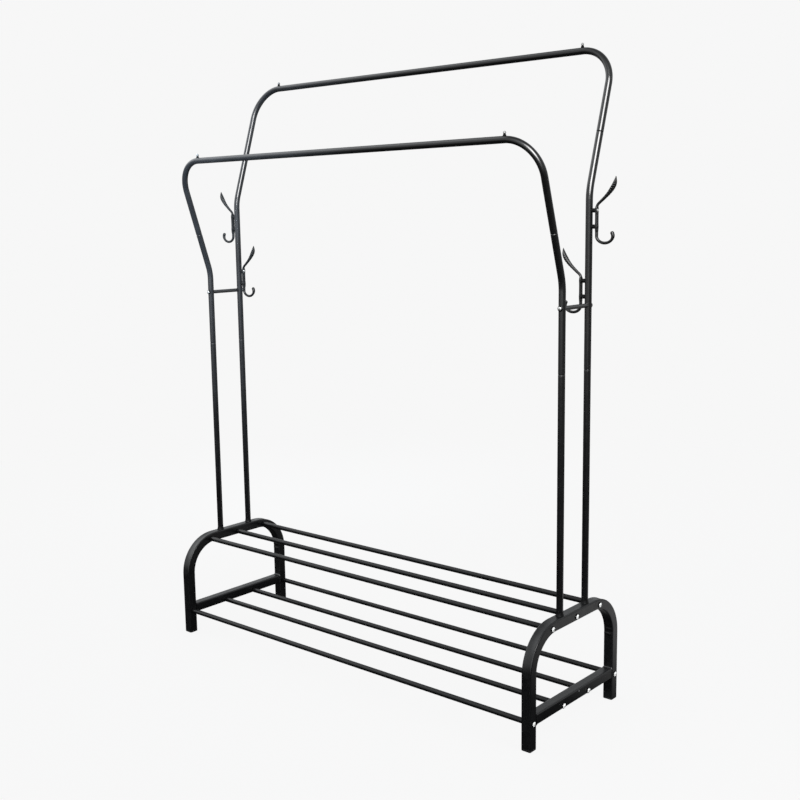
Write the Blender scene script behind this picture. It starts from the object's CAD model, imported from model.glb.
import math

import bmesh
import bpy
import numpy as np
from mathutils import Matrix, Vector


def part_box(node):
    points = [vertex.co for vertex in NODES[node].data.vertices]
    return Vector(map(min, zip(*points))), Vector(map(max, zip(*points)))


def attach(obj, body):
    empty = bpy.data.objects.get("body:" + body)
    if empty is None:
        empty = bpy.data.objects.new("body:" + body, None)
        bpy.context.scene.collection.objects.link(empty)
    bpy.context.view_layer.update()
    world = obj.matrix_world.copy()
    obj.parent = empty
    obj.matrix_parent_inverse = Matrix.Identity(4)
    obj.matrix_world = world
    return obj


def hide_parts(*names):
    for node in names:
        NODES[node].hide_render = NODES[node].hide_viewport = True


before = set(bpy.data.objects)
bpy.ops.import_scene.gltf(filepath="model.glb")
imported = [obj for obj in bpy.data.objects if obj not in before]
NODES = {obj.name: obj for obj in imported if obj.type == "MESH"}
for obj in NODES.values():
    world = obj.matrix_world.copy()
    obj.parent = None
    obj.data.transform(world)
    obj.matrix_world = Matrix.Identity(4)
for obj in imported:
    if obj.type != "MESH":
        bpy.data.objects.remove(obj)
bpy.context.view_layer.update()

SIDES = (("left", -1), ("right", 1))
ENDS = (("front", -1), ("back", 1))


def mm_box(node):
    lo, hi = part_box(node)
    return np.array(lo) * 1000.0, np.array(hi) * 1000.0


# ---------------------------------------------------------------------------
# Places, read from the frame (millimetres)
# ---------------------------------------------------------------------------
_alo, _ahi = mm_box("arch_right")
_blo, _bhi = mm_box("crossbar_right")
_ulo, _uhi = mm_box("tie_bar_right")
SQ = _ahi[0] - _alo[0]                     # square tube
XC = (_ahi[0] + _alo[0]) / 2               # plane of an end frame
X_IN = _alo[0]
X_OUT = _ahi[0]
LEG_Y = _ahi[1] - SQ / 2
FOOT_H = _alo[2]
ARCH_TOP = _ahi[2]
ARCH_Z = ARCH_TOP - SQ / 2
CROSS_Z = (_blo[2] + _bhi[2]) / 2
CROSS_HALF = (_bhi[1] - _blo[1]) / 2
TIE_D = _uhi[0] - _ulo[0]
TIE_Z = (_uhi[2] + _ulo[2]) / 2
_plo, _phi = mm_box("upper_upright_right_front")
TUBE_D = _phi[0] - _plo[0]
R_O = TUBE_D / 2
MID_SEAM_Z = _plo[2]
UPR_Y = -_phi[1] + R_O                     # front upright's centre line, before it leans
ROD_D = mm_box("upper_rod_middle")[1][2] - mm_box("upper_rod_middle")[0][2]

# shape constants of the same pieces, in millimetres and degrees
ARCH_R = 92.0
SQ_R = 3.0
SQ_WALL = 1.2
TUBE_WALL = 1.2
R_I = R_O - TUBE_WALL
R_PIN = R_I - 0.05
R_PIN_I = R_PIN - TUBE_WALL
SPIGOT_L = 45.0
FLARE_R, FLARE_H = 9.8, 9.0
BEND_R = 127.0
TH = math.radians(17.75)
BEND_Z = {"front": 1031.0, "back": 1229.0}
SEAM_S = {"front": 113.7, "back": 136.9}
CORNER_S = {"front": 320.5, "back": 334.5}
CORNER_R = 84.5
HOOK_PITCH = 35.5
HOOK_Z = {"upper": 1151.0, "lower": 995.2}
HOOK_OUT = R_O + 9.2                       # spacer's outer face
HOOK_T = 4.6
HOOK_W = 9.6


# ---------------------------------------------------------------------------
# Small mesh tools. Everything is built in millimetres and stored in metres.
# ---------------------------------------------------------------------------
class Shell:
    """Vertices, faces, a material slot per face and two values per vertex: wear and dust."""

    def __init__(self):
        self.v, self.f, self.m, self.wear = [], [], [], []

    def add(self, pts, wear=0.0):
        i = len(self.v)
        self.v.extend([tuple(p) for p in pts])
        if np.isscalar(wear):
            wear = [wear] * len(pts)
        self.wear.extend(wear)
        return list(range(i, i + len(pts)))

    def quad(self, a, b, c, d, slot=0):
        self.f.append((a, b, c, d))
        self.m.append(slot)

    def strip(self, ra, rb, slot=0, closed=True):
        n = len(ra)
        for i in range(n if closed else n - 1):
            j = (i + 1) % n
            self.quad(ra[i], ra[j], rb[j], rb[i], slot)

    def cap(self, ring, centre, slot=0, wear=0.0):
        c = self.add([centre], wear)[0]
        n = len(ring)
        for i in range(n):
            self.f.append((ring[i], ring[(i + 1) % n], c))
            self.m.append(slot)

    def rings(self, rings, slots=0, loop=False, cap_start=None, cap_end=None):
        """Join rings of vertex indices into a skin. slots is one slot or one per gap."""
        k = len(rings) if loop else len(rings) - 1
        for i in range(k):
            s = slots if isinstance(slots, int) else slots[i]
            self.strip(rings[i], rings[(i + 1) % len(rings)], s)


def make_object(name, shell, mats, body="frame", smooth=38.0):
    me = bpy.data.meshes.new(name)
    me.from_pydata([(x * 0.001, y * 0.001, z * 0.001) for x, y, z in shell.v], [], shell.f)
    for m in mats:
        me.materials.append(m)
    me.polygons.foreach_set("material_index", shell.m)
    at = me.attributes.new("wear", "FLOAT", "POINT")
    at.data.foreach_set("value", np.array(shell.wear, np.float32))
    bm = bmesh.new()
    bm.from_mesh(me)
    bmesh.ops.recalc_face_normals(bm, faces=bm.faces)
    bm.to_mesh(me)
    bm.free()
    me.shade_smooth()
    me.set_sharp_from_angle(angle=math.radians(smooth))
    me.validate()
    me.update()
    o = bpy.data.objects.new(name, me)
    bpy.context.scene.collection.objects.link(o)
    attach(o, body)
    return o


class Path:
    """A planar run of straight lines with round corners, measured along its length."""

    def __init__(self, pts, radii, normal):
        self.n = np.array(normal, float)
        self.n /= np.linalg.norm(self.n)
        P = [np.array(p, float) for p in pts]
        self.seg = []
        s = 0.0
        cur = P[0]
        for i in range(1, len(P)):
            d = P[i] - P[i - 1]
            d /= np.linalg.norm(d)
            if i < len(P) - 1 and radii[i - 1] > 0:
                d1 = P[i + 1] - P[i]
                d1 /= np.linalg.norm(d1)
                ang = math.acos(max(-1.0, min(1.0, float(d @ d1))))
                t = radii[i - 1] * math.tan(ang / 2)
                a = P[i] - d * t
                L = float(np.linalg.norm(a - cur))
                self.seg.append(("line", s, s + L, cur, d))
                s += L
                ax = np.cross(d, d1)
                ax /= np.linalg.norm(ax)
                c = a + np.cross(ax, d) * radii[i - 1]
                L = radii[i - 1] * ang
                self.seg.append(("arc", s, s + L, a, d, c, ax, radii[i - 1]))
                s += L
                cur = P[i] + d1 * t
            else:
                L = float(np.linalg.norm(P[i] - cur))
                self.seg.append(("line", s, s + L, cur, d))
                s += L
                cur = P[i]
        self.length = s

    def at(self, s):
        """Point, tangent and the in-plane side vector at a length."""
        g = self.seg[0]
        for q in self.seg:
            g = q
            if s <= q[2] + 1e-9:
                break
        if g[0] == "line":
            p, t = g[3] + g[4] * (s - g[1]), g[4]
        else:
            a, d, c, ax, r = g[3:]
            f = (s - g[1]) / r
            co, si = math.cos(f), math.sin(f)

            def rot(v):
                return v * co + np.cross(ax, v) * si + ax * (ax @ v) * (1 - co)
            p, t = c + rot(a - c), rot(d)
        return p, t, np.cross(self.n, t)

    def bend(self, s):
        """0 on the straights to 1 inside a bend, and the sign of the side the bend's centre is on."""
        best, sign = 0.0, 1.0
        for g in self.seg:
            if g[0] == "arc":
                soft = min(14.0, (g[2] - g[1]) * 0.3)
                k = min((s - g[1]) / soft + 0.35, (g[2] - s) / soft + 0.35, 1.0)
                if k > best:
                    best = k
                    sign = 1.0 if float(g[6] @ self.n) > 0 else -1.0
        k = max(0.0, best)
        return k * k * (3 - 2 * k), sign

    def stations(self, line_step, arc_deg, s0=0.0, s1=None):
        s1 = self.length if s1 is None else s1
        out = {round(s0, 4), round(s1, 4)}
        for g in self.seg:
            L = g[2] - g[1]
            n = max(1, int(math.ceil(L / line_step))) if g[0] == "line" else max(2, int(math.ceil(math.degrees(L / g[7]) / arc_deg)))
            for i in range(n + 1):
                s = g[1] + L * i / n
                if s0 + 0.3 < s < s1 - 0.3:
                    out.add(round(s, 4))
        return sorted(out)


def ring_pts(path, s, r, n, oval=True):
    p, t, w = path.at(s)
    ru = rw = r
    if oval and r > 0:
        k, _ = path.bend(s)
        rw = r * (1 - 0.030 * k)
        ru = r * (1 + 0.012 * k)
    a = np.arange(n) * 2 * math.pi / n
    return p + np.outer(np.cos(a) * ru, path.n) + np.outer(np.sin(a) * rw, w)


def tube_shell(path, outer, inner, n=40, slots=None):
    """A closed tube wall. outer and inner are lists of (s, radius, wear), both from start to end.
    slots gives the material slot of each gap of the outer list."""
    sh = Shell()
    rings, sl = [], []
    for i, (s, r, w) in enumerate(outer):
        rings.append(sh.add(ring_pts(path, s, r, n), w))
        sl.append(slots[i] if slots and i < len(slots) else 0)
    for s, r, w in reversed(inner):
        rings.append(sh.add(ring_pts(path, s, r, n), w))
        sl.append(sl[len(outer) - 2] if slots else 0)
    sh.rings(rings, sl, loop=True)
    return sh


def revolve(points, origin, axis, n=48, slots=None, wear=None):
    """Closed solid of revolution. points are (radius, height) pairs from the axis or in a loop."""
    z = np.array(axis, float)
    z /= np.linalg.norm(z)
    x = np.cross(z, (0.3, 0.9, 0.1) if abs(z[1]) < 0.9 else (1, 0, 0))
    x /= np.linalg.norm(x)
    y = np.cross(z, x)
    o = np.array(origin, float)
    sh = Shell()
    a = np.arange(n) * 2 * math.pi / n
    rings = []
    for i, (r, h) in enumerate(points):
        w = wear[i] if wear else 0.0
        if r < 1e-6:
            rings.append(sh.add([o + z * h], w))
        else:
            rings.append(sh.add(o + z * h + np.outer(np.cos(a) * r, x) + np.outer(np.sin(a) * r, y), w))
    k = len(rings)
    closed = points[0][0] > 1e-6 and points[-1][0] > 1e-6
    for i in range(k if closed else k - 1):
        A, B = rings[i], rings[(i + 1) % k]
        s = slots[i] if slots else 0
        if len(A) == 1 and len(B) == 1:
            continue
        if len(A) == 1:
            for j in range(n):
                sh.f.append((A[0], B[j], B[(j + 1) % n]))
                sh.m.append(s)
        elif len(B) == 1:
            for j in range(n):
                sh.f.append((A[j], A[(j + 1) % n], B[0]))
                sh.m.append(s)
        else:
            sh.strip(A, B, s)
    return sh


def merge(shells):
    out = Shell()
    for s in shells:
        k = len(out.v)
        out.v += s.v
        out.wear += s.wear
        out.f += [tuple(i + k for i in f) for f in s.f]
        out.m += s.m
    return out


def rounded_rect(hu, hv, r, n=5, edge=None):
    """Points of a rounded rectangle, anticlockwise. edge is the number of points along each flat."""
    edge = edge or 1
    pts = []
    for cu, cv, a0 in ((hu - r, hv - r, 0), (-hu + r, hv - r, 90), (-hu + r, -hv + r, 180), (hu - r, -hv + r, 270)):
        for i in range(n + 1):
            a = math.radians(a0 + 90 * i / n)
            pts.append((cu + r * math.cos(a), cv + r * math.sin(a)))
        if edge > 1:
            a = pts[-1]
            nxt = {0: (-hu + r, hv), 90: (-hu, -hv + r), 180: (hu - r, -hv), 270: (hu, hv - r)}[a0]
            for i in range(1, edge):
                k = i / edge
                pts.append((a[0] + (nxt[0] - a[0]) * k, a[1] + (nxt[1] - a[1]) * k))
    return pts


# ---------------------------------------------------------------------------
# Materials, all made of nodes
# ---------------------------------------------------------------------------
def nodes_of(name):
    m = bpy.data.materials.new(name)
    m.use_nodes = True
    nt = m.node_tree
    nt.nodes.clear()
    return m, nt


class Net:
    def __init__(self, nt):
        self.nt = nt

    def node(self, kind, **kw):
        n = self.nt.nodes.new(kind)
        for k, v in kw.items():
            setattr(n, k, v)
        return n

    def link(self, a, b):
        self.nt.links.new(a, b)

    def noise(self, vec, scale, detail=2.0, rough=0.5, dim="3D"):
        n = self.node("ShaderNodeTexNoise", noise_dimensions=dim)
        n.inputs["Scale"].default_value = scale
        n.inputs["Detail"].default_value = detail
        n.inputs["Roughness"].default_value = rough
        self.link(vec, n.inputs["Vector"])
        return n.outputs["Fac"]

    def ramp(self, fac, lo, hi, a=0.0, b=1.0):
        n = self.node("ShaderNodeMapRange", clamp=True)
        n.inputs["From Min"].default_value = lo
        n.inputs["From Max"].default_value = hi
        n.inputs["To Min"].default_value = a
        n.inputs["To Max"].default_value = b
        self.link(fac, n.inputs["Value"])
        return n.outputs["Result"]

    def math(self, op, a, b=None, c=None):
        n = self.node("ShaderNodeMath", operation=op)
        for i, v in enumerate((a, b, c)):
            if v is None:
                continue
            if isinstance(v, (int, float)):
                n.inputs[i].default_value = v
            else:
                self.link(v, n.inputs[i])
        return n.outputs[0]

    def mix(self, fac, a, b):
        n = self.node("ShaderNodeMix", data_type="RGBA")
        if isinstance(fac, (int, float)):
            n.inputs[0].default_value = fac
        else:
            self.link(fac, n.inputs[0])
        for i, v in ((6, a), (7, b)):
            if isinstance(v, tuple):
                n.inputs[i].default_value = (*v, 1.0)
            else:
                self.link(v, n.inputs[i])
        return n.outputs[2]

    def mixf(self, fac, a, b):
        n = self.node("ShaderNodeMix", data_type="FLOAT")
        if isinstance(fac, (int, float)):
            n.inputs[0].default_value = fac
        else:
            self.link(fac, n.inputs[0])
        for i, v in ((2, a), (3, b)):
            if isinstance(v, (int, float)):
                n.inputs[i].default_value = v
            else:
                self.link(v, n.inputs[i])
        return n.outputs[0]

    def bump(self, height, strength, distance, normal=None):
        n = self.node("ShaderNodeBump")
        n.inputs["Strength"].default_value = strength
        n.inputs["Distance"].default_value = distance
        self.link(height, n.inputs["Height"])
        if normal is not None:
            self.link(normal, n.inputs["Normal"])
        return n.outputs["Normal"]

    def finish(self, base, rough, metal=0.0, normal=None, spec=0.5, coat=0.0, coat_rough=0.2):
        b = self.node("ShaderNodeBsdfPrincipled")
        for key, v in (("Base Color", base), ("Roughness", rough), ("Metallic", metal)):
            if isinstance(v, tuple):
                b.inputs[key].default_value = (*v, 1.0)
            elif isinstance(v, (int, float)):
                b.inputs[key].default_value = v
            else:
                self.link(v, b.inputs[key])
        b.inputs["Specular IOR Level"].default_value = spec
        b.inputs["Coat Weight"].default_value = coat
        b.inputs["Coat Roughness"].default_value = coat_rough
        if normal is not None:
            self.link(normal, b.inputs["Normal"])
        out = self.node("ShaderNodeOutputMaterial")
        self.link(b.outputs["BSDF"], out.inputs["Surface"])
        return b


def powder_coat(name, colour, rough, peel_mm=1.3, peel=0.30, fleck=0.5, spec=0.5, wave=0.10, dust=0.35, seed=0.0, nick=None):
    """Baked powder coat: orange peel, a fine grain, faint cloudiness, dust on top faces and wear to steel where the wear value says."""
    m, nt = nodes_of(name)
    g = Net(nt)
    tc = g.node("ShaderNodeTexCoord")
    mp = g.node("ShaderNodeMapping")
    mp.inputs["Location"].default_value = (seed, seed * 0.7, seed * 1.3)
    g.link(tc.outputs["Object"], mp.inputs["Vector"])
    v = mp.outputs["Vector"]
    cloud = g.noise(v, 9.0, 3.0, 0.55)
    blotch = g.noise(v, 55.0, 3.0, 0.6)
    orange = g.noise(v, 1000.0 / peel_mm, 1.5, 0.45)
    grain = g.noise(v, 4200.0, 1.0, 0.6)
    c0 = tuple(x * 0.74 for x in colour)
    c1 = tuple(min(1.0, x * 1.32 + 0.0008) for x in colour)
    base = g.mix(g.ramp(cloud, 0.32, 0.68), c0, c1)
    fl = g.ramp(grain, 0.70, 0.80, 0.0, fleck)
    base = g.mix(fl, base, tuple(min(1.0, x * 2.6 + 0.006) for x in colour))
    geo = g.node("ShaderNodeNewGeometry")
    sep = g.node("ShaderNodeSeparateXYZ")
    g.link(geo.outputs["Normal"], sep.inputs[0])
    up = g.ramp(sep.outputs["Z"], 0.55, 1.0, 0.0, dust)
    dusty = g.math("MULTIPLY", up, g.ramp(blotch, 0.42, 0.72, 0.15, 1.0))
    base = g.mix(g.math("MULTIPLY", dusty, 0.16), base, (0.16, 0.165, 0.175))
    ro = g.ramp(blotch, 0.30, 0.72, rough - 0.055, rough + 0.065)
    ro = g.math("ADD", ro, g.math("MULTIPLY", dusty, 0.16))
    ro = g.math("ADD", ro, g.ramp(orange, 0.3, 0.7, -0.02, 0.02))
    bare = g.node("ShaderNodeAttribute", attribute_name="wear")
    rub = g.math("GREATER_THAN", g.math("ADD", bare.outputs["Fac"], g.ramp(g.noise(v, 420.0, 3.0, 0.65), 0.30, 0.70, -0.42, 0.42)), 0.62)
    has = g.math("GREATER_THAN", bare.outputs["Fac"], 0.02)
    rub = g.math("MULTIPLY", rub, has)
    if nick:                                     # one small chip down to bare steel
        d = g.node("ShaderNodeVectorMath", operation="DISTANCE")
        g.link(tc.outputs["Object"], d.inputs[0])
        d.inputs[1].default_value = nick
        rough_d = g.math("ADD", d.outputs["Value"], g.ramp(g.noise(v, 420.0, 2.0, 0.6), 0.3, 0.7, -0.0008, 0.0008))
        rub = g.math("MAXIMUM", rub, g.math("LESS_THAN", rough_d, 0.0024))
    base = g.mix(rub, base, (0.44, 0.44, 0.45))
    ro = g.mixf(rub, ro, 0.34)
    metal = g.math("MULTIPLY", rub, 0.92)
    h = g.math("ADD", g.math("MULTIPLY", orange, 1.0), g.math("MULTIPLY", grain, 0.16))
    h = g.math("ADD", h, g.math("MULTIPLY", rub, -0.35))
    nrm = g.bump(h, peel, 0.00012)
    nrm = g.bump(g.noise(v, 95.0, 1.0, 0.5), wave, 0.0008, nrm)
    g.finish(base, ro, metal, nrm, spec=spec)
    return m


def plated(name, colour, rough, tint=(0.80, 0.79, 0.76), scratch=0.25, seed=0.0, metal=0.96, rim=None, edge=0.0, dull=None):
    """Bright plated steel: soft blotches, fine turning marks and a little tarnish."""
    m, nt = nodes_of(name)
    g = Net(nt)
    tc = g.node("ShaderNodeTexCoord")
    mp = g.node("ShaderNodeMapping")
    mp.inputs["Location"].default_value = (seed, seed, seed)
    g.link(tc.outputs["Object"], mp.inputs["Vector"])
    v = mp.outputs["Vector"]
    blotch = g.noise(v, 260.0, 3.0, 0.6)
    fine = g.noise(v, 2600.0, 2.0, 0.6)
    base = g.mix(g.ramp(blotch, 0.35, 0.70), colour, tint)
    if rim:                                      # oxide left in the angle under a domed head that lies along X or Y
        geo = g.node("ShaderNodeNewGeometry")
        sep = g.node("ShaderNodeSeparateXYZ")
        g.link(geo.outputs["Normal"], sep.inputs[0])
        base = g.mix(g.ramp(g.math("ABSOLUTE", sep.outputs[rim[0]]), rim[1], rim[1] + 0.06), (0.012, 0.012, 0.012), base)
    if dull:                                      # the heads at the left end have gone dull
        where = g.node("ShaderNodeNewGeometry")
        at = g.node("ShaderNodeSeparateXYZ")
        g.link(where.outputs["Position"], at.inputs[0])
        base = g.mix(g.ramp(at.outputs["X"], -0.05, 0.05), (dull, dull, dull), base)
    if edge:                                     # grime at the turned-away edge of a small head
        lw = g.node("ShaderNodeLayerWeight")
        lw.inputs["Blend"].default_value = 0.5
        base = g.mix(g.ramp(lw.outputs["Facing"], edge, edge + 0.28), base, (0.010, 0.010, 0.010))
    ro = g.ramp(blotch, 0.3, 0.7, rough - 0.05, rough + 0.07)
    nrm = g.bump(fine, scratch, 0.00004)
    g.finish(base, ro, metal, nrm)
    return m


def moulded(name, colour, rough, grain_mm=0.5, strength=0.35, spec=0.42):
    """Black moulded plastic with a spark-eroded grain."""
    m, nt = nodes_of(name)
    g = Net(nt)
    tc = g.node("ShaderNodeTexCoord")
    v = tc.outputs["Object"]
    n = g.noise(v, 1000.0 / grain_mm, 2.0, 0.6)
    cloud = g.noise(v, 60.0, 3.0, 0.6)
    base = g.mix(g.ramp(cloud, 0.35, 0.7), colour, tuple(min(1.0, x * 1.5 + 0.001) for x in colour))
    scuff = g.ramp(g.noise(v, 190.0, 4.0, 0.7), 0.60, 0.74, 0.0, 0.5)
    geo = g.node("ShaderNodeNewGeometry")
    sep = g.node("ShaderNodeSeparateXYZ")
    g.link(geo.outputs["Normal"], sep.inputs[0])
    low = g.ramp(sep.outputs["Z"], -0.2, -0.9, 0.15, 1.0)
    base = g.mix(g.math("MULTIPLY", scuff, low), base, (0.09, 0.088, 0.085))
    ro = g.ramp(n, 0.3, 0.7, rough - 0.06, rough + 0.08)
    g.finish(base, ro, 0.0, g.bump(n, strength, 0.00008), spec=spec)
    return m


COAT_BASE = powder_coat("coat_end_frames", (0.0024, 0.0025, 0.0028), 0.31, 1.5, 0.14, spec=0.42, seed=0.0, nick=(0.6000, 0.0130, 0.0772))
COAT_TUBE = powder_coat("coat_tubes", (0.0036, 0.0037, 0.0041), 0.17, 1.3, 0.04, fleck=0.2, wave=0.03, dust=0.08, seed=2.3)
COAT_ROD = powder_coat("coat_rods", (0.0036, 0.0037, 0.0039), 0.24, 1.2, 0.06, fleck=0.2, spec=0.27, wave=0.04, dust=0.15, seed=5.1)
COAT_HOOK = powder_coat("coat_hooks", (0.0030, 0.0031, 0.0033), 0.40, 0.9, 0.08, fleck=0.1, spec=0.33, wave=0.04, dust=0.1, seed=7.7)
COAT_SMALL = powder_coat("coat_small_parts", (0.0030, 0.0030, 0.0031), 0.42, 0.8, 0.20, fleck=0.2, spec=0.35, wave=0.03, dust=0.1, seed=9.2)
BRIGHT_RIM = plated("shelf_screw_bright", (0.96, 0.96, 0.95), 0.26, (0.90, 0.90, 0.88), 0.05, seed=0.6, metal=0.35, rim=("X", 0.58))
STUD = plated("stop_screw_bright", (0.36, 0.36, 0.355), 0.50, (0.30, 0.30, 0.295), 0.05, seed=2.6, metal=0.20, edge=0.50, dull=0.055)
HOOK_SCREW = plated("hook_screw_bright", (0.84, 0.84, 0.83), 0.28, (0.74, 0.74, 0.72), 0.05, seed=3.9)
COAT_FOOT = powder_coat("coat_upright_feet", (0.0026, 0.0026, 0.0028), 0.34, 1.3, 0.05, fleck=0.1, spec=0.16, wave=0.03, dust=0.02, seed=4.4)
COAT_TIE = powder_coat("coat_tie_bars", (0.0030, 0.0031, 0.0034), 0.24, 1.2, 0.02, fleck=0.1, spec=1.0, wave=0.03, dust=0.2, seed=6.6)
PLASTIC = moulded("plastic_black", (0.0045, 0.0045, 0.0046), 0.50, spec=0.34)
COLLAR = moulded("collar_black", (0.0018, 0.0018, 0.0018), 0.60, 0.35, 0.10, spec=0.03)
WASHER = moulded("washer_black", (0.0018, 0.0018, 0.0018), 0.55, 0.35, 0.20, spec=0.12)
BRIGHT = plated("screw_bright", (0.95, 0.95, 0.94), 0.24, (0.90, 0.90, 0.88), 0.05, metal=0.90, rim=("Y", 0.87))
STEEL = plated("steel_plated", (0.62, 0.62, 0.60), 0.36, (0.50, 0.50, 0.48), 0.35, seed=1.7)
SEAM = plated("steel_at_seam", (0.36, 0.365, 0.37), 0.40, (0.24, 0.24, 0.245), 0.40, seed=3.1)


def paint(node, mat):
    """Give a CAD node one material in its object's slots."""
    o = NODES[node]
    if not o.material_slots:
        o.data.materials.append(mat)
    for s in o.material_slots:
        s.link = "OBJECT"
        s.material = mat


def soften(node, width_mm, angle=40.0):
    """A small edge round on a CAD node, by modifier only."""
    o = NODES[node]
    b = o.modifiers.new("edge", "BEVEL")
    b.width = width_mm * 0.001
    b.segments = 2
    b.limit_method = "ANGLE"
    b.angle_limit = math.radians(angle)
    b.harden_normals = False


# ---------------------------------------------------------------------------
# End frames: bent square tube with compression wrinkles inside each bend
# ---------------------------------------------------------------------------
def cut_holes(o, centres, radius, x0, x1):
    """Cut round holes along X through a piece, and bake the result into its mesh."""
    sh = merge([revolve([(0, 0), (radius, 0), (radius, x1 - x0), (0, x1 - x0)], (x0, y, z), (1, 0, 0), n=32) for y, z in centres])
    me = bpy.data.meshes.new("cutter")
    me.from_pydata([(a * 0.001, b * 0.001, c * 0.001) for a, b, c in sh.v], [], sh.f)
    bm = bmesh.new()
    bm.from_mesh(me)
    bmesh.ops.recalc_face_normals(bm, faces=bm.faces)
    bm.to_mesh(me)
    bm.free()
    cutter = bpy.data.objects.new("cutter", me)
    bpy.context.scene.collection.objects.link(cutter)
    mod = o.modifiers.new("holes", "BOOLEAN")
    mod.operation = "DIFFERENCE"
    mod.solver = "EXACT"
    mod.object = cutter
    bpy.context.view_layer.update()
    dg = bpy.context.evaluated_depsgraph_get()
    new = bpy.data.meshes.new_from_object(o.evaluated_get(dg), preserve_all_data_layers=True, depsgraph=dg)
    o.modifiers.clear()
    old = o.data
    o.data = new
    new.name = o.name
    bpy.data.meshes.remove(old)
    bpy.data.objects.remove(cutter)
    bpy.data.meshes.remove(me)


def ripple(y_leg_s, inner_s):
    """Height of the compression wrinkles at a length inner_s past the start of the bend, in millimetres."""
    h = 0.0
    for c, a, w in ((-4.5, 0.95, 2.9), (10.0, 1.25, 3.1), (25.0, 1.15, 3.2), (39.0, 0.45, 3.8)):
        h += a * math.exp(-((inner_s - c) / w) ** 2)
    return h


def arch_shell(sx):
    x = sx * XC
    pts = [(x, -LEG_Y, FOOT_H), (x, -LEG_Y, ARCH_Z), (x, LEG_Y, ARCH_Z), (x, LEG_Y, FOOT_H)]
    path = Path(pts, [ARCH_R, ARCH_R], (1, 0, 0))
    arcs = [g for g in path.seg if g[0] == "arc"]
    st = set(path.stations(26.0, 2.2))
    for g, sign in ((arcs[0], 1), (arcs[1], -1)):
        base = g[1] if sign > 0 else g[2]
        for k in np.arange(-15.0, 50.1, 1.25):
            st.add(round(float(base + sign * k), 4))
    st = sorted(min(s, path.length) for s in st if 0 <= s <= path.length + 0.001)
    clean = [st[0]]
    for s in st[1:]:
        if s - clean[-1] > 0.5 or s == st[-1]:
            clean.append(s)
    outer = rounded_rect(SQ / 2, SQ / 2, SQ_R, 5, 9)
    hi = SQ / 2 - SQ_WALL
    inner = rounded_rect(hi, hi, SQ_R - SQ_WALL, 5, 9)
    sh = Shell()

    def section(s, prof, outside):
        p, t, w = path.at(s)
        k, _ = path.bend(s)
        out_dir = w                              # always away from the middle of the arch
        rip = 0.0
        for g, sg in ((arcs[0], 1), (arcs[1], -1)):
            rip += ripple(0, (s - g[1]) if sg > 0 else (g[2] - s))
        res = []
        for a, b in prof:
            ca = math.cos(math.pi * a / SQ) if abs(a) < SQ / 2 else 0.0
            cb = math.cos(math.pi * b / SQ) if abs(b) < SQ / 2 else 0.0
            top = max(0.0, b / (SQ / 2))
            low = max(0.0, -b / (SQ / 2))
            db = -0.9 * k * ca * top                                  # outer wall sinks
            bow = 1.4 * (abs(a) / (SQ / 2)) ** 2
            db += low ** 3 * ca ** 0.6 * (0.25 * k - 0.95 * rip) if ca > 0 else 0.0   # inner wall buckles
            da = math.copysign(1.0, a) * cb * (0.28 * k * (0.35 + low) + 0.30 * rip * low)
            if not outside:
                da *= 0.9
                db *= 0.9
            # the wrinkles run in a shallow curve across the wall
            res.append(p + path.n * (a + da) + out_dir * (b + db) + t * (bow * low * min(1.0, rip)))
        return res
    # the bend's outer side is away from the middle of the arch
    rings = []
    for s in clean:
        rings.append(sh.add(section(s, outer, True), 0.0))
    for s in reversed(clean):
        rings.append(sh.add(section(s, inner, False), 0.0))
    sh.rings(rings, 0, loop=True)
    return sh, path


def build_end_frames():
    for side, sx in SIDES:
        sh, path = arch_shell(sx)
        o = make_object("end_frame_arch_%s" % side, sh, [COAT_BASE], smooth=30.0)
        ys = []
        for rod in ("front", "middle", "back"):
            lo, hi = mm_box("upper_rod_%s" % rod)
            ys.append(((lo[1] + hi[1]) / 2, (lo[2] + hi[2]) / 2))
        low = []
        for rod in ("front", "mid_front", "mid_back", "back"):
            lo, hi = mm_box("lower_rod_%s" % rod)
            low.append(((lo[1] + hi[1]) / 2, (lo[2] + hi[2]) / 2))
        cut_holes(o, ys + [low[0], low[3]], 3.2, sx * XC - SQ / 2 - 2, sx * XC + SQ / 2 + 2)
        o.data.set_sharp_from_angle(angle=math.radians(30))
        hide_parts("arch_%s" % side)

        # cross-bar, a hollow square tube
        bar = Path([(sx * XC, -CROSS_HALF, CROSS_Z), (sx * XC, CROSS_HALF, CROSS_Z)], [], (1, 0, 0))
        sh = Shell()
        outer = rounded_rect(SQ / 2, SQ / 2, SQ_R, 5, 6)
        inner = rounded_rect(SQ / 2 - SQ_WALL, SQ / 2 - SQ_WALL, SQ_R - SQ_WALL, 5, 6)
        rings = []
        ss = bar.stations(24.0, 5.0)
        for prof, order in ((outer, ss), (inner, list(reversed(ss)))):
            for s in order:
                p, t, w = bar.at(s)
                rings.append(sh.add([p + bar.n * a + w * b for a, b in prof], 0.0))
        sh.rings(rings, 0, loop=True)
        c = make_object("end_frame_crossbar_%s" % side, sh, [COAT_BASE], smooth=30.0)
        cut_holes(c, [low[1], low[2]], 3.2, sx * XC - SQ / 2 - 2, sx * XC + SQ / 2 + 2)
        c.data.set_sharp_from_angle(angle=math.radians(30))
        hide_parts("crossbar_%s" % side)


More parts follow.
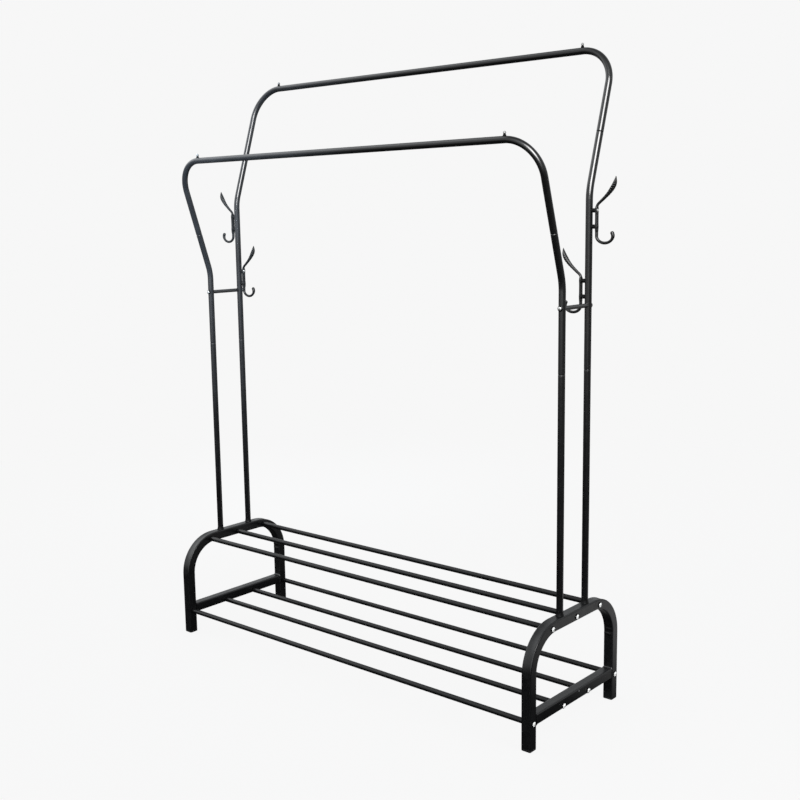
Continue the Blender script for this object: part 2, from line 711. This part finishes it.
# ---------------------------------------------------------------------------
# Weld beads between the cross-bars and the legs
# ---------------------------------------------------------------------------
def weld_bead(sx, sy):
    """A rippled fillet round the end of a cross-bar, lying in the corner against the leg."""
    y = sy * CROSS_HALF
    prof = rounded_rect(SQ / 2, SQ / 2, SQ_R, 6, 1)
    P = []
    for i in range(len(prof)):
        a, b = prof[i], prof[(i + 1) % len(prof)]
        L = math.hypot(b[0] - a[0], b[1] - a[1])
        k = max(1, int(round(L / 0.55)))
        for j in range(k):
            P.append((a[0] + (b[0] - a[0]) * j / k, a[1] + (b[1] - a[1]) * j / k))
    sh = Shell()
    rings = []
    acc = 0.0
    n = len(P)
    for i in range(n):
        a, b = P[i], P[(i + 1) % n]
        z = P[i - 1]
        tx, ty = b[0] - z[0], b[1] - z[1]
        L = math.hypot(tx, ty)
        nx, ny = ty / L, -tx / L
        acc += math.hypot(b[0] - a[0], b[1] - a[1])
        ph = (acc / 2.35) % 1.0
        coin = 0.82 + 0.26 * (1 - abs(2 * ph - 1)) ** 0.7
        wob = 1.0 + 0.10 * math.sin(acc * 0.37 + sx * 1.3 + sy * 0.7) + 0.06 * math.sin(acc * 0.83 + 2.0 * sx)
        # on the outer and inner X faces the bead is dressed nearly flush
        flush = 1.0 if abs(nx) < 0.5 else 0.62
        e = 2.15 * coin * wob * flush
        pts = []
        for q in range(8):
            t = math.pi / 2 * q / 7
            u = e * (1 - math.sin(t) * 0.98) * 1.0
            v = e * (1 - math.cos(t) * 0.98) * 1.0
            bulge = 0.30 * e * math.sin(2 * t)
            pts.append((u + bulge * 0.7, v + bulge * 0.7))
        pts = pts + [(-0.55, 0.0 - 0.45)]
        ring = []
        for u, v in pts:
            ring.append((sx * XC + a[0] + nx * u, y - sy * v, CROSS_Z + a[1] + ny * u))
        rings.append(sh.add(ring, 0.0))
    sh.rings(rings, 0, loop=True)
    return sh


def build_welds():
    for side, sx in SIDES:
        sh = merge([weld_bead(sx, sy) for _, sy in ENDS])
        make_object("weld_beads_%s" % side, sh, [COAT_BASE], smooth=60.0)


# ---------------------------------------------------------------------------
# Foot caps
# ---------------------------------------------------------------------------
def build_feet():
    for side, sx in SIDES:
        for end, sy in ENDS:
            sh = Shell()
            rings = []
            x, y = sx * XC, sy * LEG_Y
            sec = [(10.6, 1.2, 0.0), (11.3, 2.6, 0.0), (11.9, 3.0, 0.35), (12.3, 3.0, 1.0), (12.46, 3.0, 2.4),
                   (12.5, 3.0, 4.4), (12.32, 2.8, FOOT_H)]
            h = SQ / 2 - SQ_WALL - 0.1
            sec += [(h, 1.8, FOOT_H), (h, 1.8, FOOT_H + 3), (h - 0.25, 1.7, FOOT_H + 3.4), (h - 0.25, 1.7, FOOT_H + 7), (h, 1.8, FOOT_H + 7.4),
                    (h, 1.8, FOOT_H + 10), (h - 0.25, 1.7, FOOT_H + 10.4), (h - 0.25, 1.7, FOOT_H + 14), (h - 0.1, 1.8, FOOT_H + 14.4), (h - 1.0, 1.6, FOOT_H + 18)]
            sec += [(h - 2.2, 1.0, FOOT_H + 18), (h - 2.2, 1.0, FOOT_H - 2), (2.0, 0.9, FOOT_H - 2)]
            for hw, r, z in sec:
                rings.append(sh.add([(x + a, y + b, z) for a, b in rounded_rect(hw, hw, r, 5, 3)], 0.0))
            sh.rings(rings, 0)
            sh.cap(rings[0], (x, y, 0.0))
            sh.cap(rings[-1], (x, y, FOOT_H - 2))
            o = make_object("foot_%s_%s" % (side, end), sh, [PLASTIC], smooth=40.0)
            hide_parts("foot_cap_%s_%s" % (side, end))


# ---------------------------------------------------------------------------
# Uprights and hoops
# ---------------------------------------------------------------------------
def lean(sy):
    return np.array((0.0, sy * math.sin(TH), math.cos(TH)))


def lerp_list(path, s0, s1, r, step, deg, wear=0.0):
    return [(s, r, wear) for s in path.stations(step, deg, s0, s1)]


def build_lower_uprights():
    top = MID_SEAM_Z + SPIGOT_L
    for side, sx in SIDES:
        for end, sy in ENDS:
            x, y = sx * XC, sy * UPR_Y
            path = Path([(x, y, ARCH_TOP), (x, y, top)], [], (1, 0, 0))
            h = MID_SEAM_Z - ARCH_TOP
            outer = [(0.12, FLARE_R - 0.25, 0.05), (0.45, FLARE_R, 0.0)]
            d = FLARE_R - R_O
            for i in range(1, 13):
                k = i / 12
                zz = 0.45 + (FLARE_H + 3.0 - 0.45) * k
                outer.append((zz, R_O + d * (1 - k) ** 2.1, 0.0))
            s = FLARE_H + 3.0
            for q in np.arange(s + 26, h - 8, 26.0):
                outer.append((float(q), R_O, 0.0))
            outer += [(h - 6.0, R_O, 0.0), (h - 1.1, R_O, 0.0), (h - 0.8, R_O - 0.08, 0.10), (h - 0.5, R_O - 0.34, 0.15), (h - 0.2, R_PIN + 0.22, 0.15), (h, R_PIN, 0.15)]
            cut = len(outer)
            outer += [(h + 12, R_PIN, 0.9), (h + 30, R_PIN, 0.9), (h + SPIGOT_L - 1.2, R_PIN, 0.9), (h + SPIGOT_L, R_PIN - 0.7, 0.9)]
            slots = [2] * 12 + [0] * (cut - 12) + [1] * (len(outer) - cut)
            inner = [(0.12, R_I, 0.0), (FLARE_H, R_I, 0.0), (h * 0.35, R_I, 0.0), (h * 0.7, R_I, 0.0), (h - 5.0, R_I, 0.0), (h - 2.4, R_PIN_I, 0.0), (h + SPIGOT_L, R_PIN_I, 0.0)]
            # the tube's own swage starts from the outer diameter of the wall above
            sh = tube_shell(path, outer, inner, 40, slots)
            o = make_object("upright_lower_%s_%s" % (side, end), sh, [COAT_TUBE, SEAM, COAT_FOOT], smooth=40.0)
            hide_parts("lower_upright_%s_%s" % (side, end))


def build_upper_uprights():
    for side, sx in SIDES:
        for end, sy in ENDS:
            x, y = sx * XC, sy * UPR_Y
            d = lean(sy)
            vtx = np.array((x, y, BEND_Z[end]))
            stop = vtx + d * (SEAM_S[end] + SPIGOT_L)
            path = Path([(x, y, MID_SEAM_Z), vtx, stop], [BEND_R], (1, 0, 0))
            # length along the path of the seam: measured back from the end
            s_seam = path.length - SPIGOT_L
            outer = [(0.0, R_O - 0.38, 0.18), (0.16, R_O - 0.14, 0.22), (0.42, R_O, 0.14), (1.4, R_O, 0.0)]
            outer += lerp_list(path, 12.0, s_seam - 8.0, R_O, 26.0, 1.6)
            outer += [(s_seam - 2.2, R_O, 0.03), (s_seam - 1.6, R_O - 0.03, 0.14), (s_seam - 1.2, R_O - 0.30, 0.22), (s_seam - 0.45, R_PIN + 0.2, 0.20), (s_seam - 0.1, R_PIN, 0.20)]
            cut = len(outer) - 1
            outer += [(s_seam + 15, R_PIN, 0.9), (s_seam + SPIGOT_L - 1.2, R_PIN, 0.9), (s_seam + SPIGOT_L, R_PIN - 0.7, 0.9)]
            slots = [0] * cut + [1] * (len(outer) - cut)
            inner = [(0.0, R_I, 0.0)] + [(s, R_I, 0.0) for s in path.stations(60.0, 4.0, 20.0, s_seam - 7.0)]
            inner += [(s_seam - 5.0, R_I, 0.0), (s_seam - 2.5, R_PIN_I, 0.0), (s_seam + SPIGOT_L, R_PIN_I, 0.0)]
            sh = tube_shell(path, outer, inner, 40, slots)
            o = make_object("upright_upper_%s_%s" % (side, end), sh, [COAT_TUBE, SEAM], smooth=40.0)
            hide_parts("upper_upright_%s_%s" % (side, end))


def build_hoops():
    for end, sy in ENDS:
        d = lean(sy)
        zb = BEND_Z[end]

        def leg(sx, s):
            return np.array((sx * XC, sy * UPR_Y, zb)) + d * s
        normal = np.cross((1.0, 0.0, 0.0), d)
        path = Path([leg(-1, SEAM_S[end]), leg(-1, CORNER_S[end]), leg(1, CORNER_S[end]), leg(1, SEAM_S[end])], [CORNER_R, CORNER_R], normal)
        L = path.length
        outer = [(0.0, R_O - 0.42, 0.26), (0.16, R_O - 0.16, 0.30), (0.42, R_O, 0.20), (1.4, R_O, 0.03)]
        outer += lerp_list(path, 12.0, L - 12.0, R_O, 26.0, 2.2)
        outer += [(L - 1.4, R_O, 0.03), (L - 0.42, R_O, 0.20), (L - 0.16, R_O - 0.16, 0.30), (L, R_O - 0.42, 0.26)]
        inner = [(0.0, R_I, 0.0)] + [(s, R_I, 0.0) for s in path.stations(70.0, 5.0, 20.0, L - 20.0)] + [(L, R_I, 0.0)]
        sh = tube_shell(path, outer, inner, 40)
        o = make_object("hoop_%s" % end, sh, [COAT_TUBE], body="%s_hoop" % end, smooth=40.0)
        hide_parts("%s_hoop_tube" % end)


# ---------------------------------------------------------------------------
# Shelf rods and tie bars
# ---------------------------------------------------------------------------
def build_rods():
    r, q = ROD_D / 2, 2.6
    names = ["upper_rod_%s" % n for n in ("front", "middle", "back")] + ["lower_rod_%s" % n for n in ("front", "mid_front", "mid_back", "back")]
    for name in names:
        lo, hi = mm_box(name)
        y, z = (lo[1] + hi[1]) / 2, (lo[2] + hi[2]) / 2
        L = hi[0] - lo[0]
        pts, wear = [], []
        lip = r - q
        m = 9
        for i in range(m + 1):
            a = math.pi / 2 * i / m
            pts.append((lip + q * math.sin(a), q - q * math.cos(a)))
            wear.append(0.9 if i < 2 else (0.5 if i == 2 else 0.0))
        k = int(L // 40)
        for i in range(1, k):
            pts.append((r, L * i / k))
            wear.append(0.0)
        for i in range(m, -1, -1):
            a = math.pi / 2 * i / m
            pts.append((lip + q * math.sin(a), L - q + q * math.cos(a)))
            wear.append(0.9 if i < 2 else (0.5 if i == 2 else 0.0))
        for rr, hh in ((lip - 0.3, L), (lip - 0.3, L - 1.0), (r - 1.0, L - q - 0.2), (r - 1.0, L * 0.5), (r - 1.0, q + 0.2), (lip - 0.3, 1.0), (lip - 0.3, 0.0)):
            pts.append((rr, hh))
            wear.append(0.0)
        sh = revolve(pts, (lo[0], y, z), (1, 0, 0), n=36, wear=wear)
        o = make_object(name.replace("rod", "shelf_rod"), sh, [COAT_ROD], smooth=40.0)
        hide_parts(name)


def build_tie_bars():
    r = TIE_D / 2
    n = 40
    for side, sx in SIDES:
        sh = Shell()
        a = np.arange(n) * 2 * math.pi / n
        rings = []

        def ring(y_end, sy, gap, rad, wear=0.0):
            """Ring whose ends follow the round upright. gap is the distance from the upright's surface."""
            pts = []
            for t in a:
                dx, dz = rad * math.cos(t), rad * math.sin(t)
                edge = UPR_Y - math.sqrt(max(0.0, (R_O + 0.02) ** 2 - dx * dx))
                pts.append((sx * XC + dx, sy * (edge - gap), TIE_Z + dz))
            return sh.add(pts, wear)
        seq = [(-1, 0.0, r - 0.3), (-1, 0.3, r), (-1, 4.0, r)]
        for sy, gap, rad in seq:
            rings.append(ring(0, sy, gap, rad, 0.3 if gap < 1 else 0.0))
        for yy in np.arange(-36.0, 36.1, 12.0):
            rings.append(sh.add([(sx * XC + r * math.cos(t), yy, TIE_Z + r * math.sin(t)) for t in a], 0.0))
        for sy, gap, rad in [(1, 4.0, r), (1, 0.3, r), (1, 0.0, r - 0.3)]:
            rings.append(ring(0, sy, gap, rad, 0.3 if gap < 1 else 0.0))
        # threaded bores for the screws
        bore = 3.0
        rings.append(ring(0, 1, 0.0, bore))
        rings.append(sh.add([(sx * XC + bore * math.cos(t), 24.0, TIE_Z + bore * math.sin(t)) for t in a], 0.0))
        rings.append(sh.add([(sx * XC + 0.3 * math.cos(t), 23.0, TIE_Z + 0.3 * math.sin(t)) for t in a], 0.0))
        rings.append(sh.add([(sx * XC + 0.3 * math.cos(t), -23.0, TIE_Z + 0.3 * math.sin(t)) for t in a], 0.0))
        rings.append(sh.add([(sx * XC + bore * math.cos(t), -24.0, TIE_Z + bore * math.sin(t)) for t in a], 0.0))
        rings.append(ring(0, -1, 0.0, bore))
        sh.rings(rings, 0, loop=True)
        o = make_object("tie_bar_round_%s" % side, sh, [COAT_TIE], smooth=40.0)
        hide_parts("tie_bar_%s" % side)


# ---------------------------------------------------------------------------
# Double coat hooks: one casting, with a ribbed leaf, a strip and a curled prong
# ---------------------------------------------------------------------------
LEAF = [  # out from the upright's centre, height over the lower screw, width, thickness
    (19.5, 38.6, 8.6, 4.4),
    (19.7, 43.0, 8.0, 5.4),
    (21.0, 47.0, 6.8, 6.0),
    (24.2, 50.8, 6.4, 6.3),
    (28.6, 54.3, 6.1, 6.5),
    (35.6, 60.2, 6.5, 7.1),
    (42.6, 66.3, 7.3, 7.7),
    (48.7, 72.2, 8.6, 8.7),
    (54.0, 78.2, 10.1, 9.6),
    (58.3, 84.0, 11.6, 10.1),
    (61.7, 89.6, 12.3, 9.4),
    (64.0, 95.4, 10.9, 7.7),
    (65.3, 101.0, 7.6, 5.1),
    (66.0, 105.4, 4.0, 2.8),
    (66.2, 108.6, 1.4, 1.3),
]


def smooth_path(rows, n):
    """Catmull-Rom through the rows, n samples, evenly spaced in parameter."""
    A = np.array(rows, float)
    d = np.r_[0, np.cumsum(np.linalg.norm(np.diff(A[:, :2], axis=0), axis=1))]
    out = []
    for s in np.linspace(0, d[-1], n):
        i = min(len(A) - 2, max(0, int(np.searchsorted(d, s) - 1)))
        t = (s - d[i]) / (d[i + 1] - d[i])
        p1, p2 = A[i], A[i + 1]
        m1 = (A[i + 1] - A[i - 1]) / (d[i + 1] - d[i - 1]) if i > 0 else (A[1] - A[0]) / (d[1] - d[0])
        m2 = (A[i + 2] - A[i]) / (d[i + 2] - d[i]) if i + 2 < len(A) else (A[-1] - A[-2]) / (d[-1] - d[-2])
        h = d[i + 1] - d[i]
        t2, t3 = t * t, t * t * t
        out.append(((2 * t3 - 3 * t2 + 1) * p1 + (t3 - 2 * t2 + t) * h * m1 + (-2 * t3 + 3 * t2) * p2 + (t3 - t2) * h * m2, s))
    return out, d[-1]


def leaf_shell():
    """The upper prong, in the hook's own (out, across, up) axes: a long bud of overlapping scales, like an ear of wheat."""
    rows, L = smooth_path(LEAF, 260)
    sh = Shell()
    rings = []
    nn = 56
    start = 30.0                 # scales begin at this length along the prong
    for k, (row, s) in enumerate(rows):
        j0, j1 = max(0, k - 1), min(len(rows) - 1, k + 1)
        t = rows[j1][0][:2] - rows[j0][0][:2]
        t = t / np.linalg.norm(t)
        nrm = np.array((-t[1], t[0]))            # towards the upright
        w, th = max(0.5, row[2]) / 2, max(0.5, row[3]) / 2
        on = min(1.0, max(0.0, (s - start) / 12.0)) * min(1.0, max(0.0, (L - 1.5 - s) / 6.0))
        ring = []
        for i in range(nn):
            a = 2 * math.pi * i / nn
            ca, sa = math.cos(a), math.sin(a)
            # four rows of scales round the bud, each row half a scale out of step with the next
            q = a / (math.pi / 2)
            row_i = int(math.floor(q + 0.5))
            side = abs(q - row_i)                # 0 on a row's middle, 0.5 between rows
            pitch = 8.6 - 2.4 * (s / L)
            phase = (s + side * side * 4 * 3.2) / pitch + 0.5 * (row_i % 2)
            f = phase - math.floor(phase)
            tooth = f ** 1.3 if f < 0.86 else (0.86 ** 1.3) * (1 - f) / 0.14
            seam = math.exp(-((side - 0.5) / 0.07) ** 2)
            r = 1.0 + on * (0.17 * (tooth - 0.42) * (1 - 0.7 * seam) - 0.07 * seam)
            p2 = row[:2] + nrm * (sa * th * r)
            ring.append((p2[0], ca * w * r, p2[1]))
        rings.append(sh.add(ring, 0.0))
    sh.rings(rings, 0)
    r0, r1 = rows[0][0], rows[-1][0]
    sh.cap(rings[0], (r0[0], 0.0, r0[1]))
    sh.cap(rings[-1], (r1[0], 0.0, r1[1]))
    return sh


def hook_solid():
    """All of a hook's volumes in its own axes, to be joined into one skin."""
    parts = [leaf_shell()]
    oc = HOOK_OUT + HOOK_T / 2
    # strip: rounded plate with a soft waist and wider pads at the screws
    prof = []
    zb, zt = -13.3, HOOK_PITCH + 9.3
    for i in range(61):
        z = zb + (zt - zb) * i / 60
        pad = 0.7 * (math.exp(-(z / 5.2) ** 2) + math.exp(-((z - HOOK_PITCH) / 5.2) ** 2))
        endr = min(1.0, math.sqrt(max(0.0, (z - zb) / 4.2)) if z - zb < 4.2 else 1.0, math.sqrt(max(0.0, (zt - z) / 4.2)) if zt - z < 4.2 else 1.0)
        prof.append((z, max(0.6, (HOOK_W / 2 + pad) * (0.45 + 0.55 * endr))))
    sh = Shell()
    rings = []
    for z, hw in prof:
        ring = []
        for a, b in rounded_rect(HOOK_T / 2, hw, min(1.15, hw * 0.8), 4, 3):
            ring.append((oc + a, b, z))
        rings.append(sh.add(ring, 0.0))
    sh.rings(rings, 0)
    sh.cap(rings[0], (oc, 0, zb))
    sh.cap(rings[-1], (oc, 0, zt))
    parts.append(sh)
    # curled lower prong, round bar that thins a little before the ball
    RX, RZ, zc = 20.5, 15.6, -20.5
    rc = RZ * RZ / RX
    sh = Shell()
    rings = []
    pts = []
    for z in np.linspace(-8.0, zc, 9):
        pts.append(((oc, z), (0.0, -1.0)))
    for a in np.linspace(math.pi, 2 * math.pi, 56)[1:]:
        dx, dz = -RX * math.sin(a), RZ * math.cos(a)
        L = math.hypot(dx, dz)
        pts.append(((oc + RX * (1 + math.cos(a)), zc + RZ * math.sin(a)), (dx / L, dz / L)))
    for a in np.linspace(0.0, math.radians(31.0), 10)[1:]:
        pts.append(((oc + 2 * RX - rc * (1 - math.cos(a)), zc + rc * math.sin(a)), (-math.sin(a), math.cos(a))))
    n = len(pts)
    for k, (p, t) in enumerate(pts):
        f = k / (n - 1)
        club = min(1.0, max(0.0, (f - 0.70) / 0.22))
        rad = 3.45 - 0.25 * f + 0.95 * club * club * (3 - 2 * club)      # thickens again towards the ball
        flat = 1.0 + 0.22 * max(0.0, 1 - f * 3)
        nx, nz = -t[1], t[0]
        ring = [(p[0] + nx * rad * math.cos(a), rad * flat * math.sin(a), p[1] + nz * rad * math.cos(a)) for a in np.arange(24) * 2 * math.pi / 24]
        rings.append(sh.add(ring, 0.0))
    sh.rings(rings, 0)
    sh.cap(rings[0], (pts[0][0][0], 0, pts[0][0][1]))
    sh.cap(rings[-1], (pts[-1][0][0], 0, pts[-1][0][1]))
    parts.append(sh)
    e = pts[-1][0]
    ball = [(0, -4.4)] + [(4.4 * math.sin(a), -4.4 * math.cos(a)) for a in np.linspace(0, math.pi, 17)[1:-1]] + [(0, 4.4)]
    parts.append(revolve(ball, (e[0], 0, e[1]), (0, 0, 1), n=24))
    return parts


def hook_mesh():
    """One joined, slightly softened skin, as a casting has."""
    sh = merge(hook_solid())
    me = bpy.data.meshes.new("hook_raw")
    k = 0.001
    me.from_pydata([(a * k, b * k, c * k) for a, b, c in sh.v], [], sh.f)
    bm = bmesh.new()
    bm.from_mesh(me)
    bmesh.ops.recalc_face_normals(bm, faces=bm.faces)
    bm.to_mesh(me)
    bm.free()
    o = bpy.data.objects.new("hook_raw", me)
    bpy.context.scene.collection.objects.link(o)
    r = o.modifiers.new("skin", "REMESH")
    r.mode = "VOXEL"
    r.voxel_size = 0.00038
    r.adaptivity = 0.0
    s = o.modifiers.new("soft", "SMOOTH")
    s.factor = 0.5
    s.iterations = 1
    bpy.context.view_layer.update()
    dg = bpy.context.evaluated_depsgraph_get()
    ev = o.evaluated_get(dg).to_mesh()
    v = np.array([tuple(p.co) for p in ev.vertices]) * 1000.0
    f = [tuple(p.vertices) for p in ev.polygons]
    o.evaluated_get(dg).to_mesh_clear()
    bpy.data.objects.remove(o)
    bpy.data.meshes.remove(me)
    return v, f


def build_hooks():
    v, f = hook_mesh()
    # wear value: the ball, the rib crests and the leaf's edge see the most rubbing
    for side, sx in SIDES:
        for lvl in ("upper", "lower"):
            dirx = sx if lvl == "upper" else -sx
            z0 = HOOK_Z[lvl]
            sh = Shell()
            sh.v = [(sx * XC + dirx * a, UPR_Y + b, z0 + c) for a, b, c in v]
            sh.wear = [0.0] * len(sh.v)
            sh.f = list(f)
            sh.m = [0] * len(f)
            o = make_object("coat_hook_%s_%s" % (lvl, side), sh, [COAT_HOOK], smooth=60.0)
            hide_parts("hook_%s_%s" % (lvl, side))


# ---------------------------------------------------------------------------
# Build everything
# ---------------------------------------------------------------------------
build_end_frames()
build_welds()
build_feet()
build_lower_uprights()
build_upper_uprights()
build_hoops()
build_rods()
build_tie_bars()
build_hooks()

PAINT = {
    "shelf_screws": BRIGHT_RIM, "tie_screws": BRIGHT, "stop_screws": STUD, "hook_top_screws": HOOK_SCREW,
    "hook_bottom_screws": COAT_SMALL, "shelf_washers": WASHER, "stop_collars": COLLAR, "hook_spacers": WASHER,
    "socket_pin": STEEL, "rod_inserts": STEEL, "foot_cap": PLASTIC, "arch": COAT_BASE, "crossbar": COAT_BASE,
    "upright": COAT_TUBE, "hoop_tube": COAT_TUBE, "tie_bar": COAT_TIE, "rod": COAT_ROD, "hook": COAT_HOOK,
}
for node in NODES:
    for key in ("rod_inserts", "hook_top_screws", "hook_bottom_screws", "hook_spacers", "shelf_screws", "tie_screws", "stop_screws",
                "shelf_washers", "stop_collars", "socket_pin", "foot_cap", "arch", "crossbar", "upright", "hoop_tube", "tie_bar", "rod", "hook"):
        if key in node:
            paint(node, PAINT[key])
            break
    else:
        raise RuntimeError("no finish for " + node)


# ---------------------------------------------------------------------------
# Floor, backdrop, light and camera
# ---------------------------------------------------------------------------
PALE = 0.9299          # linear value of the pale backdrop
FLOOR_ALBEDO = 0.04    # the small part of the floor's tone that takes shadow
FLOOR_LIT = 0.038      # what that part adds where nothing shades it
DARK_NEAR, MID_NEAR, MID_FAR, GLOW_FAR = 0.03, 0.10, 0.26, 0.95


def build_floor():
    me = bpy.data.meshes.new("floor")
    s = 60.0
    me.from_pydata([(-s, -s, 0), (s, -s, 0), (s, s, 0), (-s, s, 0)], [], [(0, 1, 2, 3)])
    o = bpy.data.objects.new("floor", me)
    bpy.context.scene.collection.objects.link(o)
    m, nt = nodes_of("floor_pale")
    g = Net(nt)
    lp = g.node("ShaderNodeLightPath")
    geo = g.node("ShaderNodeNewGeometry")
    vm = g.node("ShaderNodeVectorMath", operation="LENGTH")
    g.link(geo.outputs["Position"], vm.inputs[0])
    r = vm.outputs["Value"]
    # what the object sees of the floor: dark close by, paler far off, with a glow to the front and a patch at the right back
    far = g.math("ADD", g.ramp(r, 1.4, 5.0, DARK_NEAR, MID_FAR), 0.0)
    unit = g.node("ShaderNodeVectorMath", operation="NORMALIZE")
    g.link(geo.outputs["Position"], unit.inputs[0])
    dot = g.node("ShaderNodeVectorMath", operation="DOT_PRODUCT")
    g.link(unit.outputs["Vector"], dot.inputs[0])
    a80 = math.radians(-80.0)
    dot.inputs[1].default_value = (math.cos(a80), math.sin(a80), 0.0)
    front = g.ramp(dot.outputs["Value"], 0.55, 0.95, 0.0, GLOW_FAR)
    far = g.math("ADD", far, g.math("MULTIPLY", front, g.ramp(r, 4.5, 11.0, 0.0, 1.0)))
    patch = g.node("ShaderNodeVectorMath", operation="DISTANCE")
    g.link(geo.outputs["Position"], patch.inputs[0])
    patch.inputs[1].default_value = (0.85, 1.02, 0.0)
    far = g.math("ADD", far, g.ramp(patch.outputs["Value"], 0.95, 0.45, 0.0, 0.62))
    # the shadow-taking part fades out away from the object, so the floor meets the backdrop unseen
    keep = g.ramp(vm.outputs["Value"], 1.6, 3.2, 1.0, 0.0)
    seen = g.math("SUBTRACT", PALE, g.math("MULTIPLY", keep, FLOOR_LIT))
    em = g.node("ShaderNodeEmission")
    em.inputs["Color"].default_value = (1, 1, 1, 1)
    g.link(g.mixf(lp.outputs["Is Camera Ray"], far, seen), em.inputs["Strength"])
    df = g.node("ShaderNodeBsdfDiffuse")
    col = g.node("ShaderNodeCombineColor")
    alb = g.math("MULTIPLY", g.math("MULTIPLY", keep, FLOOR_ALBEDO), lp.outputs["Is Camera Ray"])
    for i in range(3):
        g.link(alb, col.inputs[i])
    g.link(col.outputs[0], df.inputs["Color"])
    add = g.node("ShaderNodeAddShader")
    g.link(em.outputs[0], add.inputs[0])
    g.link(df.outputs[0], add.inputs[1])
    out = g.node("ShaderNodeOutputMaterial")
    g.link(add.outputs[0], out.inputs["Surface"])
    me.materials.append(m)
    return o


def build_world():
    """What the object sees of the studio: dim walls, with one broad pale area to the front and one to the right."""
    w = bpy.data.worlds.new("studio")
    bpy.context.scene.world = w
    w.use_nodes = True
    nt = w.node_tree
    nt.nodes.clear()
    g = Net(nt)
    lp = g.node("ShaderNodeLightPath")
    tc = g.node("ShaderNodeTexCoord")
    total = None
    for az, el, lo, hi, strength in LOBES:
        a, e = math.radians(az), math.radians(el)
        dot = g.node("ShaderNodeVectorMath", operation="DOT_PRODUCT")
        g.link(tc.outputs["Generated"], dot.inputs[0])
        dot.inputs[1].default_value = (math.cos(a) * math.cos(e), math.sin(a) * math.cos(e), math.sin(e))
        part = g.ramp(dot.outputs["Value"], math.cos(math.radians(lo)), math.cos(math.radians(hi)), 0.0, strength)
        total = part if total is None else g.math("ADD", total, part)
    env = g.node("ShaderNodeBackground")
    g.link(g.math("ADD", total, WALL), env.inputs["Strength"])
    env.inputs["Color"].default_value = (0.96, 0.985, 1.0, 1)
    seen = g.node("ShaderNodeBackground")
    seen.inputs["Color"].default_value = (PALE, PALE, PALE, 1)
    seen.inputs["Strength"].default_value = 1.0
    mx = g.node("ShaderNodeMixShader")
    g.link(lp.outputs["Is Camera Ray"], mx.inputs[0])
    g.link(env.outputs[0], mx.inputs[1])
    g.link(seen.outputs[0], mx.inputs[2])
    out = g.node("ShaderNodeOutputWorld")
    g.link(mx.outputs[0], out.inputs["Surface"])


WALL = 0.48
# azimuth from +X anticlockwise, elevation, angle where it starts, angle where it is full, strength
LOBES = ((-125.0, 18.0, 48.0, 20.0, 0.55), (-62.0, 28.0, 50.0, 18.0, 1.7), (38.0, 34.0, 46.0, 20.0, 0.30), (150.0, 15.0, 34.0, 14.0, 0.3),
         (192.0, 34.0, 32.0, 12.0, 1.7))


def softbox(name, loc, target, w, h, radiance, colour=(1.0, 1.0, 1.0), spread=180.0, sheen=True, diffuse=True):
    """A rectangular lamp of a given radiance along its axis, unseen by the camera itself."""
    L = bpy.data.lights.new(name, "AREA")
    L.shape = "RECTANGLE"
    L.size = w
    L.size_y = h
    a = math.radians(spread) / 2
    L.energy = radiance * math.pi * w * h * (1.0 if spread >= 180.0 else 1.0 - a / math.tan(a))
    L.color = colour
    L.spread = math.radians(spread)
    o = bpy.data.objects.new(name, L)
    o.location = loc
    d = Vector(target) - Vector(loc)
    o.rotation_mode = "QUATERNION"
    o.rotation_quaternion = d.to_track_quat("-Z", "Y")
    o.visible_camera = False
    o.visible_diffuse = diffuse
    o.visible_glossy = sheen
    bpy.context.scene.collection.objects.link(o)
    return o


def build_camera():
    C = Vector((1.90062702, -2.12642876, 1.17278864))
    yaw, pitch, roll = -0.709005462, -0.155012200, -0.0143500544
    f, px, py = 1115.52012, 401.415386, 393.749465
    fwd = Vector((math.sin(yaw) * math.cos(pitch), math.cos(yaw) * math.cos(pitch), math.sin(pitch)))
    right = Vector((math.cos(yaw), -math.sin(yaw), 0.0))
    up = right.cross(fwd)
    r2 = right * math.cos(roll) + up * math.sin(roll)
    u2 = -right * math.sin(roll) + up * math.cos(roll)
    cam = bpy.data.cameras.new("camera")
    cam.sensor_width = 36.0
    cam.lens = f / 800.0 * 36.0
    cam.shift_x = (400.0 - px) / 800.0
    cam.shift_y = (py - 400.0) / 800.0
    cam.clip_start, cam.clip_end = 0.05, 200.0
    o = bpy.data.objects.new("camera", cam)
    o.matrix_world = Matrix(((r2.x, u2.x, -fwd.x, C.x), (r2.y, u2.y, -fwd.y, C.y), (r2.z, u2.z, -fwd.z, C.z), (0, 0, 0, 1)))
    bpy.context.scene.collection.objects.link(o)
    bpy.context.scene.camera = o
    return o


build_floor()
build_world()
build_camera()
softbox("key_front", (1.35, -1.05, 2.05), (0.62, -0.06, 1.36), 2.2, 1.2, 38.0, (1.0, 0.995, 0.99), spread=54.0, diffuse=False)
softbox("left_fill", (0.10, -1.25, 1.50), (-0.64, -0.17, 1.26), 0.6, 0.6, 420.0, (0.74, 0.88, 1.0), spread=48.0, sheen=False)
softbox("right_fill", (2.55, -0.10, 0.50), (0.61, 0.0, 0.15), 0.6, 0.6, 30.0, (1.0, 1.0, 1.0), spread=60.0, sheen=False)

vs = bpy.context.scene.view_settings
vs.view_transform = "Standard"
vs.look = "None"
vs.exposure = 0.0
vs.gamma = 1.0

bpy.context.view_layer.update()
